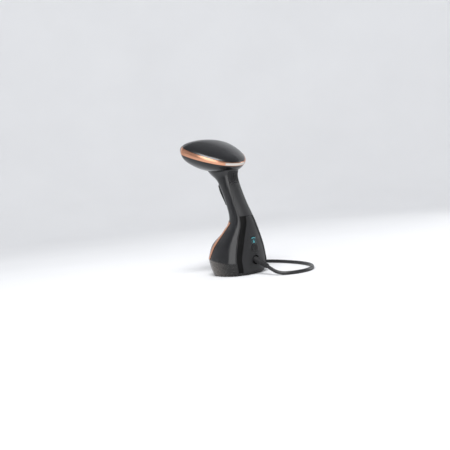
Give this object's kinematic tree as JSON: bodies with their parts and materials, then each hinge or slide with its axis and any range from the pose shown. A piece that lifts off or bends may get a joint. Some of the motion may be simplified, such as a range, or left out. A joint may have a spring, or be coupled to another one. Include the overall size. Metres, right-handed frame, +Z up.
{
  "type": "handheld garment steamer",
  "caption": "Handheld garment steamer with an oval head, copper band, leaning handle, flared base with a water tank, and a corded mains lead.",
  "frame": {"origin": "middle of the steamer's footprint box, on the surface that it stands on", "axes": "+Z up, -Y the way the steam plate faces, +X the steamer's left"},
  "size_m": [0.2039, 0.3737, 0.2826],
  "materials": {
    "gloss_black": "gloss",
    "matt_black": "fine matt grain",
    "copper": "satin rose copper",
    "chrome": "polished",
    "cast_metal": "as cast",
    "plate_metal": "fine brushed",
    "rubber": "moulded",
    "silicone": "milky",
    "smoked": "smoked",
    "board": "green laminate",
    "steel": "plated",
    "brass": "plated",
    "lens": "clear tinted",
    "white": "moulded"
  },
  "bodies": {
    "root": {"base_chassis": "matt_black", "base_cover": "smoked", "base_pad": "rubber", "base_screw_1": "steel", "base_screw_2": "steel", "base_screw_3": "steel", "base_screw_4": "steel", "body_shell_left": "gloss_black", "body_shell_right": "gloss_black", "boiler": "cast_metal", "chrome_insert": "chrome", "circuit_board": "board", "copper_band_left": "copper", "copper_band_right": "copper", "cord_bushing": "rubber", "cord_coil": "rubber", "cord_tail": "rubber", "cord_tie": "rubber", "head_lower_shell": "gloss_black", "head_upper_shell": "gloss_black", "indicator_lens": "lens", "indicator_light": "white", "inlet_hose": "silicone", "mains_cord": "rubber", "neck_grip": "rubber", "plate_frame": "matt_black", "plate_gasket": "silicone", "plug_body": "matt_black", "plug_pin_1": "brass", "plug_pin_2": "brass", "power_switch": "steel", "pump": "white", "pump_mount": "rubber", "rear_spine": "matt_black", "release_bracket": "matt_black", "release_spring": "steel", "shell_screw_1": "steel", "shell_screw_2": "steel", "steam_hose": "silicone", "steam_plate": "plate_metal", "switch_bracket": "matt_black", "tank_socket": "matt_black", "tank_trim": "copper", "thermal_fuse": "brass", "thermostat": "steel", "trigger_pin": "steel", "trigger_spring": "steel", "trigger_switch": "board"},
    "trigger": {"trigger": "matt_black"},
    "power_button": {"power_button": "matt_black"},
    "tank": {"water_tank": "smoked", "tank_valve": "white", "fill_cap_pin": "steel"},
    "fill_cap": {"fill_cap": "matt_black"},
    "tank_release": {"tank_release": "matt_black"}
  },
  "joints": [
    {"name": "trigger_press", "type": "hinge", "parent": "root", "child": "trigger", "pos_m": [0, 0.0016, 0.18843], "axis": [1, 0, 0], "range_deg": [0, 8], "stiffness_Nm_per_rad": 0.6, "deforming": ["trigger_spring"]},
    {"name": "power_press", "type": "slide", "parent": "root", "child": "power_button", "axis": [0, -1, 0], "range_m": [0, 0.0015], "stiffness_N_per_m": 900},
    {"name": "tank_slide", "type": "slide", "parent": "root", "child": "tank", "axis": [0, -0.9874, 0.158], "range_m": [0, 0.06]},
    {"name": "fill_cap_open", "type": "hinge", "parent": "tank", "child": "fill_cap", "pos_m": [0, -0.03133, 0.04969], "axis": [1, 0, 0], "range_deg": [0, 100]},
    {"name": "release_press", "type": "slide", "parent": "root", "child": "tank_release", "axis": [0, 1, 0], "range_m": [0, 0.0025], "stiffness_N_per_m": 900, "deforming": ["release_spring"]}
  ]
}
